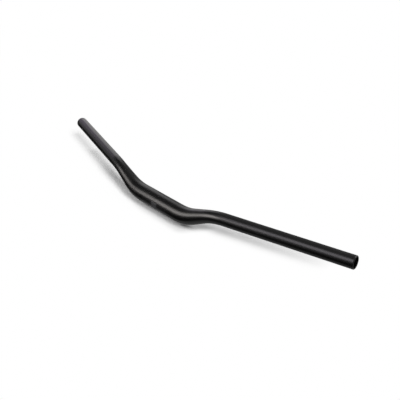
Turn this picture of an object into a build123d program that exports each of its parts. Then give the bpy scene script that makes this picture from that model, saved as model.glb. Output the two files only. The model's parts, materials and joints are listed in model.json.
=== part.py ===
from build123d import *
from math import cos, pi, radians, tan
import os

# Riser handlebar: one butted alloy tube, drawn down from the clamp to the grips and bent twice a side.
# The origin is the middle of the clamp. X runs to the rider's left, Y back towards the rider, Z up.

# Driving dimensions, in millimetres and degrees
width = 760.0               # between the centres of the two end faces
rise = 25.0                 # grip axis above clamp axis, at the upper bend
backsweep = 15.0            # turn of the grips towards the rider
upsweep = 0.0               # tilt of the grips, upwards to the ends
clamp_diameter = 31.8
clamp_length = 102.0        # straight stretch of full diameter
clamp_wall = 2.8
grip_diameter = 22.2
grip_wall = 2.1
riser_run = 66.0            # along X, between the corners of a side's two bends
riser_lean = 6.5            # turn of that riser towards the rider, part of the backsweep
bend_radius = 110.0         # of the centreline, the same die for all four bends
taper_length = 94.0         # along the centreline, from the end of the clamp
outer_edge_radius = 1.6     # rounding of the end faces, outside
outer_edge_share = 0.78     # most of the grip's wall that the rounding may take
bore_edge_chamfer = 0.3     # bevel of the end faces, inside
bore_edge_share = 0.18      # most of the grip's wall that the bevel may take
rings_per_run = 9           # sections that carry each bend and the riser


def heading(climb, turn):
    """Unit vector along the bar, raised by one angle and then turned back by the other."""
    return Vector(1, 0, 0).rotate(Axis.Y, -climb).rotate(Axis.Z, turn)


def tangent_length(before, after):
    """Distance from the corner of a bend to either end of its arc."""
    return bend_radius * tan(radians(before.get_angle(after)) / 2)


def arc_length(before, after):
    """Length of the centreline round a bend."""
    return bend_radius * radians(before.get_angle(after))


# Centreline of the left half: clamp, riser and grip in straight runs, joined by tangent arcs
clamp_heading = heading(0, 0)
riser = Vector(riser_run, riser_run * tan(radians(riser_lean)), rise)
grip_heading = heading(upsweep, backsweep)

clamp_end = clamp_length / 2
middle = Vector(0, 0, 0)
lower_corner = clamp_heading * (clamp_end + tangent_length(clamp_heading, riser))
upper_corner = lower_corner + riser
tip = upper_corner + grip_heading * ((width / 2 - upper_corner.X) / grip_heading.X)
centreline = FilletPolyline(middle, lower_corner, upper_corner, tip, radius=bend_radius)

# Distances along the centreline. The grip is the straight run past both the upper bend and the taper
riser_start = clamp_end + arc_length(clamp_heading, riser)
bends_end = centreline.length - (tip - upper_corner).length + tangent_length(riser, grip_heading)
riser_end = bends_end - arc_length(riser, grip_heading)
grip_start = max(bends_end, clamp_end + taper_length)
grip_length = centreline.length - grip_start


def tapered(distance, clamp_value, grip_value):
    """Size that eases from the clamp's value to the grip's over the taper, level at both ends."""
    share = min(max((distance - clamp_end) / taper_length, 0.0), 1.0)
    return clamp_value + (grip_value - clamp_value) * share**2 * (3 - 2 * share)


def ring(distance):
    """Section of the tube, square to the centreline at this distance from the middle."""
    forward = centreline.tangent_at(distance, PositionMode.LENGTH)
    place = centreline.position_at(distance, PositionMode.LENGTH)
    outer_radius = tapered(distance, clamp_diameter, grip_diameter) / 2
    wall = tapered(distance, clamp_wall, grip_wall)
    square = Plane(origin=place, x_dir=Vector(0, 0, 1).cross(forward), z_dir=forward)
    return square * (Circle(outer_radius) - Circle(outer_radius - wall))


def tapered_run(start, end):
    """Bend or riser lofted through rings, which lie closer together towards both ends.

    That spacing lets the skin of each run meet its neighbours without a crease.
    """
    half_span = (end - start) / 2
    steps = [pi * index / (rings_per_run - 1) for index in range(rings_per_run)]
    return loft([ring(start + half_span * (1 - cos(step))) for step in steps])


def finished_ends(bar):
    """Bar with the outer edges of its end faces rounded and the bores bevelled, within the wall."""
    rounding = min(outer_edge_radius, outer_edge_share * grip_wall)
    bevel = min(bore_edge_chamfer, bore_edge_share * grip_wall)
    ends = bar.faces().filter_by(GeomType.PLANE)
    bar = fillet([end.outer_wire().edge() for end in ends], rounding)
    ends = bar.faces().filter_by(GeomType.PLANE)
    return chamfer([end.inner_wires()[0].edge() for end in ends], bevel)


clamp = extrude(ring(0), amount=clamp_end, both=True)
lower_bend = tapered_run(clamp_end, riser_start)
straight_riser = tapered_run(riser_start, riser_end)
upper_bend = tapered_run(riser_end, grip_start)
grip = extrude(ring(grip_start), amount=grip_length)
left_side = lower_bend + straight_riser + upper_bend + grip
handlebar = finished_ends(clamp + left_side + mirror(left_side, about=Plane.YZ))

os.makedirs("parts", exist_ok=True)
export_step(handlebar, "parts/handlebar.step")
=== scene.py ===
import json
from math import cos, pi, radians, sin, tan

import bpy
import numpy as np
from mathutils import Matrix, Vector


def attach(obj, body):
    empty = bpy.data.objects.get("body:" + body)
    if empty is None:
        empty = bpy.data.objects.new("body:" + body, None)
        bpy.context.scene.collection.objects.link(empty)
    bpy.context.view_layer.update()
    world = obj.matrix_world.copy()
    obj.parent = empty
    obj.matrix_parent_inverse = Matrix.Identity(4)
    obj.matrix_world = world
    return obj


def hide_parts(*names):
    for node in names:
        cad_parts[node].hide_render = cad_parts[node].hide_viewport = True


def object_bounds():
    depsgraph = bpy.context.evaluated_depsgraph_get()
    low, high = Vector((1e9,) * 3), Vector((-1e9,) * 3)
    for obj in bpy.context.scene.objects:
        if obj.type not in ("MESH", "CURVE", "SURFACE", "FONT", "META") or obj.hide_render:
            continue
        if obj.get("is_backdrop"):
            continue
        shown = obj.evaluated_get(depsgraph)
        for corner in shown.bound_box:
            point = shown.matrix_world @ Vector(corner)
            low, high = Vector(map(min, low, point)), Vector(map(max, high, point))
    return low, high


# Riser handlebar: one satin black tube, seen from above its left end. Metres; X to the rider's left, Z up
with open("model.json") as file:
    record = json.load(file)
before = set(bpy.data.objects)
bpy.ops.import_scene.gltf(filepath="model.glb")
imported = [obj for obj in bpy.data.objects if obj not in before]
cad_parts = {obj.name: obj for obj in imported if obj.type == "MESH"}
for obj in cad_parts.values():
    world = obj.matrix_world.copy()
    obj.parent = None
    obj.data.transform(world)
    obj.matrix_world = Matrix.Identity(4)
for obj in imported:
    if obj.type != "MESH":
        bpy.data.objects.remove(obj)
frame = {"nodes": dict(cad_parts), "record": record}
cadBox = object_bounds()
mounts = {mount["name"]: mount for mount in frame["record"]["mounts"]}
print("frame loaded,", len(frame["nodes"]), "node,", len(mounts), "mounts")


# the record's dimensions are in millimetres
def mountRadius(name):
    return mounts[name]["dims"]["r_mm"] / 1000


def mountHalfLength(name):
    return mounts[name]["dims"]["length_mm"] / 2000


# Shader maths: a wrapped socket that adds, subtracts, multiplies and divides like a number
class Wire:
    def __init__(self, tree, socket=None):
        self.tree = tree
        self.socket = socket

    # any node: its settings first, then the values or wires of its inputs
    def node(self, kind, settings, inputs, output=0):
        made = self.tree.nodes.new(kind)
        for name, value in settings.items():
            setattr(made, name, value)
        for key, value in inputs.items():
            if isinstance(value, Wire):
                self.tree.links.new(value.socket, made.inputs[key])
            else:
                made.inputs[key].default_value = value
        return Wire(self.tree, made.outputs[output])

    def maths(self, operation, first, second=0.0, clamp=False):
        settings = {"operation": operation, "use_clamp": clamp}
        return self.node("ShaderNodeMath", settings, {0: first, 1: second})

    def __add__(self, other):
        return self.maths("ADD", self, other)

    def __sub__(self, other):
        return self.maths("SUBTRACT", self, other)

    def __rsub__(self, other):
        return self.maths("SUBTRACT", other, self)

    def __mul__(self, other):
        return self.maths("MULTIPLY", self, other)

    def __truediv__(self, other):
        return self.maths("DIVIDE", self, other)

    def __abs__(self):
        return self.maths("ABSOLUTE", self)

    def __round__(self):
        return self.maths("ROUND", self)

    __radd__ = __add__
    __rmul__ = __mul__

    # 1 where this value is above zero by the soft width, 0 where it is below zero
    def over(self, soft):
        return self.maths("DIVIDE", self, soft, clamp=True)

    # the same from 0 to 1, level at both: value * value * (3 - 2 * value)
    def eased(self):
        return self * self * (3 - 2 * self)

    # the X, Y and Z of this place
    def axes(self):
        split = self.node("ShaderNodeSeparateXYZ", {}, {"Vector": self}).socket.node
        return [Wire(self.tree, socket) for socket in split.outputs]

    # the colour that goes from dark to light as this value goes from 0 to 1
    def blend(self, dark, light):
        return self.node("ShaderNodeMix", {"data_type": "RGBA"}, {0: self, 6: dark, 7: light}, output=2)


# an empty material, with a wire to build its nodes on and the socket that they end in
def newMaterial(name):
    material = bpy.data.materials.new(name)
    material.use_nodes = True
    material.node_tree.nodes.clear()
    graph = Wire(material.node_tree)
    surface = material.node_tree.nodes.new("ShaderNodeOutputMaterial").inputs["Surface"]
    return material, graph, surface


# The tube. What the record's mounts don't give is repeated here
tube = {
    "bendRadius": 0.110,          # of the centreline, the same in all four bends
    "riserRun": 0.066,            # along X, between the corners of a side's two bends
    "riserLean": radians(6.5),    # turn of the riser towards the rider
    "taperLength": 0.094,         # from the end of the clamp
    "clampWall": 0.0028,
    "endRounding": 0.0016,        # outer edge of the end faces
    "boreBevel": 0.0003,          # inner edge of the end faces
    "ringSpacing": 0.003,         # along the centreline
    "supportGap": 0.0004,         # from each rounded edge to a ring that keeps the shading beside it even
    "roundingRings": 10,          # across each rounded edge
    "pointsPerRing": 112,
    "sharpAngle": radians(30),    # between faces, from which an edge stays sharp
}


def unit(vector):
    return vector / np.linalg.norm(vector)


# Half of the centreline: three straight runs of the given headings, joined by two tangent arcs.
# A point is the sum of what each run and arc adds up to that distance: a run adds its heading times the
# length covered, an arc adds radius * (first heading * sin(turn) + inward * (1 - cos(turn)))
class Centreline:
    def __init__(self):
        grip = mounts["left_grip"]
        gripHeading = np.array(grip["axis"])
        tip = np.array(grip["pos_m"]) + gripHeading * (mountHalfLength("left_grip") + tube["endRounding"])
        riser = np.array([tube["riserRun"], tube["riserRun"] * tan(tube["riserLean"]), tip[2]])
        self.headings = [np.array([1.0, 0.0, 0.0]), unit(riser), gripHeading]
        self.turns = [np.arccos(a @ b) for a, b in zip(self.headings, self.headings[1:])]
        self.clampEnd = mountHalfLength("stem_clamp")
        lowerTangent, upperTangent = [tube["bendRadius"] * tan(turn / 2) for turn in self.turns]
        lowerCorner = self.headings[0] * (self.clampEnd + lowerTangent)
        upperCorner = lowerCorner + riser
        self.runs = [
            self.clampEnd,
            np.linalg.norm(riser) - lowerTangent - upperTangent,
            np.linalg.norm(tip - upperCorner) - upperTangent,
        ]
        self.halfLength = sum(self.runs) + tube["bendRadius"] * sum(self.turns)

    # points and unit tangents at signed distances from the middle, the right side mirrored
    def at(self, distance):
        side = np.where(distance < 0, -1.0, 1.0)[:, None]
        left = np.abs(distance)
        point = np.zeros((len(distance), 3))
        tangent = np.tile(self.headings[0], (len(distance), 1))
        for index, run in enumerate(self.runs):
            point += np.clip(left, 0, run)[:, None] * self.headings[index]
            left = left - run
            if index < len(self.turns):
                before, after = self.headings[index], self.headings[index + 1]
                inward = unit(after - before * (before @ after))
                arc = self.turns[index] * tube["bendRadius"]
                turn = (np.clip(left, 0, arc) / tube["bendRadius"])[:, None]
                point += tube["bendRadius"] * (before * np.sin(turn) + inward * (1 - np.cos(turn)))
                turned = before * np.cos(turn) + inward * np.sin(turn)
                tangent = np.where(left[:, None] > 0, turned, tangent)
                left = left - arc
        flip = np.concatenate([side, np.ones_like(side), np.ones_like(side)], axis=1)
        return point * flip, tangent * flip * side


# eases from the clamp's value to the grip's over the taper: share * share * (3 - 2 * share)
def tapered(distance, clampEnd, clampValue, gripValue):
    share = np.clip((np.abs(distance) - clampEnd) / tube["taperLength"], 0, 1)
    return clampValue + (gripValue - clampValue) * share**2 * (3 - 2 * share)


# closed profile of the wall, as distances along the centreline and radii: the outer skin from the right
# end to the left, the left end's rounding, flat and bevel, the bore back again, and the right end
def wallProfile(line):
    clampRadius, gripRadius = mountRadius("stem_clamp"), mountRadius("left_grip")
    boreRadius = mountRadius("left_end_bore")
    rounding, bevel = tube["endRounding"], tube["boreBevel"]
    rings = int(2 * line.halfLength / tube["ringSpacing"])
    skinEnd = line.halfLength - rounding
    support = skinEnd - tube["supportGap"]
    outer = np.concatenate([[-skinEnd], np.linspace(-support, support, rings), [skinEnd]])
    inner = np.linspace(line.halfLength - bevel, bevel - line.halfLength, rings)
    outerRadius = tapered(outer, line.clampEnd, clampRadius, gripRadius)
    innerRadius = tapered(inner, line.clampEnd, clampRadius - tube["clampWall"], boreRadius)
    angle = np.linspace(0, pi / 2, tube["roundingRings"] + 1)[1:]
    endDistance = line.halfLength - rounding * (1 - np.sin(angle))
    endRadius = gripRadius - rounding * (1 - np.cos(angle))
    endDistance = np.append(endDistance, line.halfLength)
    endRadius = np.append(endRadius, boreRadius + bevel)
    distance = np.concatenate([outer, endDistance, inner, -endDistance[::-1]])
    radius = np.concatenate([outerRadius, endRadius, innerRadius, endRadius[::-1]])
    return distance, radius


# surface(u, v) = centre(u) + radius(u) * (across(u) * cos(v) + upward(u) * sin(v)), closed both ways
def tubeSurface():
    line = Centreline()
    distance, radius = wallProfile(line)
    centre, tangent = line.at(distance)
    across = np.cross(tangent, [0.0, 0.0, 1.0])
    across /= np.linalg.norm(across, axis=1)[:, None]
    upward = np.cross(across, tangent)
    angle = np.linspace(0, 2 * pi, tube["pointsPerRing"], endpoint=False)
    ring = across[:, None] * np.cos(angle)[None, :, None] + upward[:, None] * np.sin(angle)[None, :, None]
    return centre[:, None] + radius[:, None, None] * ring


# quads between the points of a grid that closes on itself along both of its ways
def closedGrid(name, points):
    rows, columns = points.shape[:2]
    index = np.arange(rows * columns).reshape(rows, columns)
    nextRow = np.roll(index, -1, axis=0)
    corners = [index, nextRow, np.roll(nextRow, -1, axis=1), np.roll(index, -1, axis=1)]
    quads = np.stack(corners, axis=-1).reshape(-1, 4)
    mesh = bpy.data.meshes.new(name)
    mesh.vertices.add(rows * columns)
    mesh.vertices.foreach_set("co", points.astype(np.float32).ravel())
    mesh.loops.add(quads.size)
    mesh.loops.foreach_set("vertex_index", quads.astype(np.int32).ravel())
    mesh.polygons.add(len(quads))
    mesh.polygons.foreach_set("loop_start", np.arange(0, quads.size, 4, dtype=np.int32))
    mesh.update(calc_edges=True)
    mesh.validate()
    mesh.shade_smooth()
    mesh.set_sharp_from_angle(angle=tube["sharpAngle"])
    piece = bpy.data.objects.new(name, mesh)
    bpy.context.scene.collection.objects.link(piece)
    return piece


# Satin black anodising over a bead-blasted skin, with a printed centring scale on the front of the clamp
finish = {
    "black": (0.0008, 0.0008, 0.0008, 1.0),
    "paleBlack": (0.0020, 0.0020, 0.0020, 1.0),
    "roughness": 0.31,
    "roughnessSpread": 0.05,
    "patchSize": 0.030,           # of the slow changes in tone
    "patchShare": 0.6,            # of those changes in the tone, beside the blasted grain
    "blastSize": 0.0004,          # of the blasted grain
    "blastDepth": 0.000003,
    "noiseDetail": 3.0,           # finer steps in both
    "specular": 0.50,
    "print": (0.090, 0.090, 0.094, 1.0),
    "printRoughness": 0.42,
    "printSoft": 0.0003,          # width of the print's soft edges
}

# rows of upright ticks in that print, the same to both sides of the middle: pitch, tick width and height,
# first and last tick in pitches from the middle, and strength of the print
tickRows = {
    "middle": (0.0022, 0.0012, 0.0100, 0, 3, 0.90),
    "scale": (0.0040, 0.0011, 0.0075, 2, 8, 0.22),
}


# grey centring scale on the front of the clamp, by distance along it and height round it from the front
def centringScale(graph, place):
    along, back, up = place.axes()
    along = abs(along)
    height = abs(graph.maths("ARCTAN2", up, 0.0 - back)) * mountRadius("stem_clamp")
    soft = finish["printSoft"]
    scale = 0.0
    for pitch, width, tall, first, last, strength in tickRows.values():
        step = round(along / pitch)
        inTick = (width / 2 - abs(along - step * pitch)).over(soft) * (tall / 2 - height).over(soft)
        inRow = graph.maths("GREATER_THAN", step, first - 0.5) * graph.maths("LESS_THAN", step, last + 0.5)
        scale = inTick * inRow * strength + scale
    return scale


def blackAnodised():
    material, graph, surface = newMaterial("black_anodised")
    place = graph.node("ShaderNodeTexCoord", {}, {}, output="Object")
    detail = finish["noiseDetail"]
    slow, grain = [
        graph.node("ShaderNodeTexNoise", {}, {"Vector": place, "Scale": 1 / size, "Detail": detail})
        for size in (finish["patchSize"], finish["blastSize"])
    ]
    tone = slow * finish["patchShare"] + grain * (1 - finish["patchShare"])
    mark = centringScale(graph, place)
    bump = graph.node(
        "ShaderNodeBump", {}, {"Strength": 1.0, "Distance": finish["blastDepth"], "Height": grain}
    )
    shader = graph.node("ShaderNodeBsdfPrincipled", {}, {
        "Base Color": mark.blend(tone.blend(finish["black"], finish["paleBlack"]), finish["print"]),
        "Roughness": finish["roughness"] + (tone - 0.5) * finish["roughnessSpread"]
        + mark * (finish["printRoughness"] - finish["roughness"]),
        "Specular IOR Level": finish["specular"],
        "Normal": bump,
    })
    material.node_tree.links.new(shader.socket, surface)
    return material


bar = closedGrid("handlebar_tube", tubeSurface())
bar.data.materials.append(blackAnodised())
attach(bar, "root")
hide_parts("handlebar")
print("tube made,", len(bar.data.polygons), "quads")


# Studio: a white floor in white surroundings, soft suns that cast the shadow, and softboxes and dark cards
# that only the gloss of the bar shows
studio = {
    "white": (1.0, 1.0, 1.0, 1.0),
    "surroundings": 0.092,        # strength of the white surroundings as light
    "glossShare": 0.27,           # of floor and surroundings that the gloss shows: a painted darkening of the bar's reflections, on glossy rays only
    "floorSize": 12.0,
    "floorGap": 0.012,            # under the clamp
    "floorWhite": (0.95, 0.95, 0.95, 1.0),
    "sunDistance": 1.0,           # from the middle of the bar
}

# where the floor keeps the cast shadow, which is painted over with white elsewhere: at the left and right,
# start and width along X of its fade or thinning, then the fade's power and the share lost; in front and
# behind, where it is white, and the width of that fade; and at the left start and width along X of its
# shift back, and the shift
shadowPlaces = {
    "left": (-0.12, 0.434, 4.20),
    "right": (-0.20, 0.09, 0.30),
    "front": (0.035, 0.041),
    "back": (0.055, 0.018),
    "shift": (0.057, 0.048, 0.049),
}

# the front card lies just over the floor, and the upper one stands square to its direction from the bar
cards = {
    "tone": (0.008, 0.008, 0.008, 1.0),
    "frontGap": 0.026,            # from under the bar to the front card's back edge
    "leftGap": 0.050,             # the same at the left bend
    "frontDepth": 0.7,
    "frontReach": 1.0,            # to each side
    "frontLift": 0.0005,          # over the floor
    "upperAzimuth": radians(-83),
    "upperElevation": radians(45),
    "upperDistance": 1.0,
    "upperWidth": 0.85,
    "upperHeight": 0.36,
}

# azimuth from the front towards the left end, elevation, apparent size, and share of the floor's light
suns = {
    "left_sun": (radians(71.2), radians(36.7), radians(14.8), 0.399),
    "front_sun": (radians(6.6), radians(42.8), radians(16), 0.249),
    "right_sun": (radians(-90.9), radians(47.9), radians(18.4), 0.265),
}

# azimuth and elevation from the middle of the bar, distance, width, height, brightness over white, and tint
softboxes = {
    "front_softbox": (radians(-36), radians(20.5), 1.50, 0.86, 0.73, 4.9, (1.0, 0.95, 0.92)),
    "upper_softbox": (radians(8), radians(43.5), 1.45, 1.02, 0.95, 2.5, (1.0, 0.95, 1.03)),
    "bend_softbox": (radians(-21), radians(21), 1.00, 0.24, 0.36, 4.4, (1.0, 0.95, 0.92)),
    "side_softbox": (radians(-120), radians(11), 0.90, 0.36, 1.15, 0.78, (1.0, 0.98, 0.98)),
    "side_fill": (radians(-103), radians(10), 1.30, 0.60, 0.70, 0.52, (1.0, 0.85, 1.12)),
    "rear_softbox": (radians(156), radians(38), 1.45, 1.30, 0.70, 3.2, (1.0, 0.96, 0.97)),
}


def heading(azimuth, elevation):
    return Vector((sin(azimuth) * cos(elevation), -cos(azimuth) * cos(elevation), sin(elevation)))


def floorLevel():
    return -mountRadius("stem_clamp") - studio["floorGap"]


squareCorners = ((-1, -1), (1, -1), (1, 1), (-1, 1))


def stagePiece(name, corners, material):
    mesh = bpy.data.meshes.new(name)
    mesh.from_pydata(corners, [], [range(len(corners))])
    mesh.materials.append(material)
    piece = bpy.data.objects.new(name, mesh)
    bpy.context.scene.collection.objects.link(piece)
    piece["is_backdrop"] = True
    return piece


# 1 on camera, glossy and transmission rays, which look at the background, and 0 on those that carry light
def lookingRay(graph):
    rays = [graph.node("ShaderNodeLightPath", {}, {}, output=name)
            for name in ("Is Camera Ray", "Is Glossy Ray", "Is Transmission Ray")]
    return graph.maths("MAXIMUM", graph.maths("MAXIMUM", rays[0], rays[1]), rays[2])


# what is left of floor and surroundings on this ray: the gloss share on glossy rays, and all on the others;
# this paints shade into the bar's reflections
def glossDimmed(graph):
    glossyRay = graph.node("ShaderNodeLightPath", {}, {}, output="Is Glossy Ray")
    return 1 - glossyRay * (1 - studio["glossShare"])


# where the bar's bends are in plan, and the slope of the grips from there on
def barInPlan():
    forward = mounts["left_grip"]["axis"]
    return Centreline().clampEnd + tube["riserRun"], forward[1] / forward[0]


# share of the shadow that the floor keeps, by distance along X and ahead of the bar in plan
def shadowKept(graph):
    place = graph.node("ShaderNodeTexCoord", {}, {}, output="Object")
    along, back = place.axes()[:2]
    corner, slope = barInPlan()
    ahead = graph.maths("MAXIMUM", abs(along) - corner, 0.0) * slope - back
    start, width, shift = shadowPlaces["shift"]
    ahead = ahead + (along - start).over(width).eased() * shift
    (front, frontSoft), (rear, rearSoft) = shadowPlaces["front"], shadowPlaces["back"]
    beside = (front - ahead).over(frontSoft).eased() * (ahead + rear).over(rearSoft).eased()
    start, width, power = shadowPlaces["left"]
    atLeft = graph.maths("POWER", (along - start).over(width), power)
    start, width, share = shadowPlaces["right"]
    atRight = (start - along).over(width).eased() * share
    return beside * (1 - atLeft) * (1 - atRight)


# matt white near the bar, where its cast shadow shows, and from there outwards a glowing white painted over
# the floor that hides the cast shadow by place
def whiteFloor():
    material, graph, surface = newMaterial("white_floor")
    lit = graph.node("ShaderNodeBsdfDiffuse", {}, {"Color": studio["floorWhite"]})
    white = graph.node("ShaderNodeEmission", {}, {"Color": studio["white"], "Strength": 1.0})
    # painted light: glowing white that covers the cast shadow wherever the place mask lets the shadow go
    paintedWhiteShare = (1 - shadowKept(graph)) * lookingRay(graph)
    floor = graph.node("ShaderNodeMixShader", {}, {0: paintedWhiteShare, 1: lit, 2: white})
    # painted shade in the reflections: glossy rays see the floor at only the gloss share
    shader = graph.node("ShaderNodeMixShader", {}, {0: glossDimmed(graph), 2: floor})
    material.node_tree.links.new(shader.socket, surface)
    return material


def darkCard():
    material, graph, surface = newMaterial("dark_card")
    shader = graph.node("ShaderNodeBsdfDiffuse", {}, {"Color": cards["tone"]})
    material.node_tree.links.new(shader.socket, surface)
    return material


def makeFloor():
    half, level = studio["floorSize"] / 2, floorLevel()
    stagePiece("floor", [(half * x, half * y, level) for x, y in squareCorners], whiteFloor())


# a dark card that only the gloss of the bar shows
def addCard(name, corners):
    card = stagePiece(name, corners, darkCard())
    card.visible_camera = False
    card.visible_diffuse = False
    card.visible_shadow = False


# the card's back edge follows the bar in plan, from the left to the right
def makeFrontCard():
    level = floorLevel() + cards["frontLift"]
    corner, slope = barInPlan()
    reach, back = cards["frontReach"], -cards["frontGap"]
    swept = back + (reach - corner) * slope
    front = back - cards["frontDepth"]
    frontEdge = [(-reach, front), (reach, front)]
    leftEdge = [(reach, swept), (corner, -cards["leftGap"])]
    rightEdge = [(Centreline().clampEnd, back), (-corner, back), (-reach, swept)]
    addCard("front_card", [(x, y, level) for x, y in frontEdge + leftEdge + rightEdge])


def makeUpperCard():
    outward = heading(cards["upperAzimuth"], cards["upperElevation"])
    across = Vector((0, 0, 1)).cross(outward).normalized() * cards["upperWidth"] / 2
    rising = outward.cross(across).normalized() * cards["upperHeight"] / 2
    centre = outward * cards["upperDistance"]
    addCard("upper_card", [centre + across * x + rising * y for x, y in squareCorners])


def makeSurroundings():
    world = bpy.data.worlds.new("surroundings")
    world.use_nodes = True
    world.node_tree.nodes.clear()
    graph = Wire(world.node_tree)
    surface = world.node_tree.nodes.new("ShaderNodeOutputWorld").inputs["Surface"]
    strength = studio["surroundings"] + lookingRay(graph) * (1 - studio["surroundings"])
    # painted shade in the reflections: glossy rays see the surroundings at only the gloss share
    inputs = {"Color": studio["white"], "Strength": strength * glossDimmed(graph)}
    shader = graph.node("ShaderNodeBackground", {}, inputs)
    world.node_tree.links.new(shader.socket, surface)
    bpy.context.scene.world = world


# a lamp in that direction from the middle of the bar, pointing at it
def addLamp(name, kind, settings, direction, distance):
    data = bpy.data.lights.new(name, kind)
    for key, value in settings.items():
        setattr(data, key, value)
    lamp = bpy.data.objects.new(name, data)
    lamp.location = direction * distance
    lamp.rotation_euler = direction.to_track_quat("Z", "Y").to_euler()
    bpy.context.scene.collection.objects.link(lamp)
    return lamp


barOnly = bpy.data.collections.new("bar_only")    # what the softboxes light
barOnly.objects.link(bar)
makeFloor()
makeFrontCard()
makeUpperCard()
makeSurroundings()
for name, (azimuth, elevation, size, share) in suns.items():
    # strength that lights the floor to its share of white
    strength = share * pi / sin(elevation) / studio["floorWhite"][0]
    settings = {"energy": strength, "angle": size}
    sun = addLamp(name, "SUN", settings, heading(azimuth, elevation), studio["sunDistance"])
    sun.visible_glossy = False
for name, (azimuth, elevation, distance, width, height, brightness, tint) in softboxes.items():
    power = brightness * pi * width * height
    settings = {"shape": "RECTANGLE", "size": width, "size_y": height, "energy": power, "color": tint}
    softbox = addLamp(name, "AREA", settings, heading(azimuth, elevation), distance)
    softbox.visible_diffuse = False
    softbox.light_linking.receiver_collection = barOnly
print("studio lit")


# Camera
shot = {
    "azimuth": radians(49.81),
    "elevation": radians(27.05),
    "distance": 1.25036,
    "aim": (0.04456, 0.05542, 0.00337),
    "lens": 62.576,               # on a sensor 36 mm wide
}
camera = bpy.data.objects.new("camera", bpy.data.cameras.new("camera"))
camera.data.lens = shot["lens"]
camera.location = Vector(shot["aim"]) + heading(shot["azimuth"], shot["elevation"]) * shot["distance"]
camera.rotation_euler = heading(shot["azimuth"], shot["elevation"]).to_track_quat("Z", "Y").to_euler()
bpy.context.scene.collection.objects.link(camera)
bpy.context.scene.camera = camera
bpy.context.scene.view_settings.view_transform = "Standard"
print("camera set")

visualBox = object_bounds()
({"cad": [list(corner) for corner in cadBox],
           "visual": [list(corner) for corner in visualBox]})
